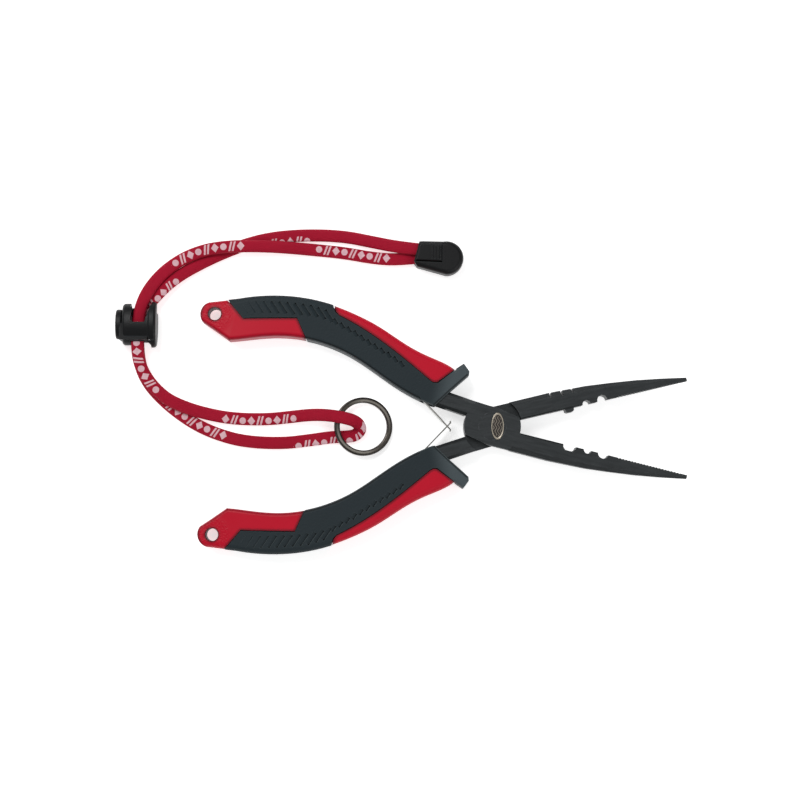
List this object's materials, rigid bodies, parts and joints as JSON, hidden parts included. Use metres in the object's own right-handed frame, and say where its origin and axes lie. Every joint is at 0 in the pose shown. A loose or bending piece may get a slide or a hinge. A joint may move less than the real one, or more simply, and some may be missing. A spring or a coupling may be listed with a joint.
{
  "type": "fishing pliers",
  "caption": "Spring-opened long-nose fishing pliers with two-material grips, thumb guards and a red wrist strap with split ring, cord lock and end clip.",
  "frame": {"origin": "on the pivot axis, on the flat underside of the lap joint", "axes": "+X along the line midway between the jaws, towards their tips; +Z along the pivot axis, out of the table that the pliers lie on"},
  "size_m": [0.2288, 0.1311, 0.0131],
  "materials": {
    "black_steel": "blackened, satin",
    "red_plastic": "fine satin",
    "dark_rubber": "matt, soft",
    "bright_steel": "bright strip",
    "ring_steel": "smoked nickel",
    "red_strap": "woven, printed",
    "black_plastic": "moulded satin"
  },
  "bodies": {
    "pivot": {"pivot_rivet": "black_steel"},
    "half_a": {"steel_half_a": "black_steel", "grip_core_a": "red_plastic", "grip_cover_a": "dark_rubber", "spring_pin_a": "bright_steel"},
    "half_b": {"steel_half_b": "black_steel", "grip_core_b": "red_plastic", "grip_cover_b": "dark_rubber", "spring_pin_b": "bright_steel"},
    "leaf_a": {"leaf_spring_a": "bright_steel"},
    "leaf_b": {"leaf_spring_b": "bright_steel"},
    "lanyard": {"lanyard_cord": "red_strap", "clip_body": "black_plastic", "clip_lid": "black_plastic"},
    "ring": {"split_ring": "ring_steel"},
    "lock": {"lock_body": "black_plastic", "lock_spring": "bright_steel"},
    "plunger": {"lock_plunger": "black_plastic"}
  },
  "joints": [
    {"name": "half_a_pivot", "type": "hinge", "parent": "pivot", "child": "half_a", "pos_m": [0, 0, 0.005], "axis": [0, 0, 1], "range_deg": [0, 13.4], "stiffness_Nm_per_rad": 0.35, "springref_deg": -28.65},
    {"name": "half_b_pivot", "type": "hinge", "parent": "pivot", "child": "half_b", "pos_m": [0, 0, 0.005], "axis": [0, 0, 1], "range_deg": [-13.4, 0]},
    {"name": "leaf_a_flex", "type": "hinge", "parent": "half_a", "child": "leaf_a", "pos_m": [-0.0302, 0.01301, 0.005], "axis": [0, 0, 1], "range_deg": [0, 14.7]},
    {"name": "leaf_b_flex", "type": "hinge", "parent": "half_b", "child": "leaf_b", "pos_m": [-0.0302, -0.01301, 0.005], "axis": [0, 0, 1], "range_deg": [-14.7, 0]},
    {"name": "lanyard_draw", "type": "slide", "parent": "pivot", "child": "lanyard", "axis": [-0.9905, 0.1377, 0], "range_m": [0, 0.0189]},
    {"name": "ring_flip", "type": "hinge", "parent": "lanyard", "child": "ring", "pos_m": [-0.06125, -0.0002, 0.00285], "axis": [0, -1, 0], "range_deg": [0, 25]},
    {"name": "lock_slide", "type": "slide", "parent": "lanyard", "child": "lock", "axis": [0, -1, 0], "range_m": [0, 0.003]},
    {"name": "lock_press", "type": "slide", "parent": "lock", "child": "plunger", "axis": [1, 0, 0], "range_m": [0, 0.0018], "stiffness_N_per_m": 900, "springref_m": -0.001, "deforming": ["lock_spring"]}
  ],
  "couplings": [
    {"joint": "half_b_pivot", "follows": "half_a_pivot", "ratio": -1},
    {"joint": "leaf_a_flex", "follows": "half_a_pivot", "ratio": 1.096},
    {"joint": "leaf_b_flex", "follows": "half_a_pivot", "ratio": -1.096},
    {"joint": "lanyard_draw", "follows": "half_a_pivot", "m_per_rad": 0.08073}
  ]
}
